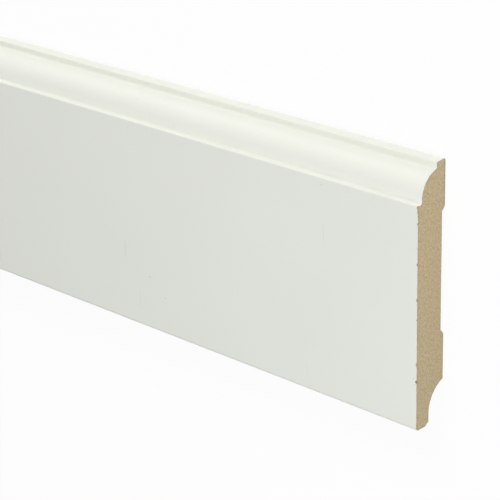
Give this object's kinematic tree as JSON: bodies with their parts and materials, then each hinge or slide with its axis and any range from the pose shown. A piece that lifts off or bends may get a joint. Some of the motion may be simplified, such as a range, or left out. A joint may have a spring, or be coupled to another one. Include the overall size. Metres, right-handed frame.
{
  "type": "skirting board length",
  "caption": "Straight length of white moulded skirting board with an ovolo top edge, a relief groove in the back and a cable recess behind the toe.",
  "frame": {"origin": "middle of the back, on the plane of the two bands that touch the wall", "axes": "+X along the board towards the pictured sawn end, +Y towards the moulded top edge, +Z out from the wall to the face"},
  "size_m": [2.4, 0.12, 0.018],
  "materials": {
    "board": "satin white coating on medium density fibreboard, bare on the sawn ends and back"
  },
  "bodies": {
    "root": {"skirting_board": "board"}
  },
  "joints": []
}
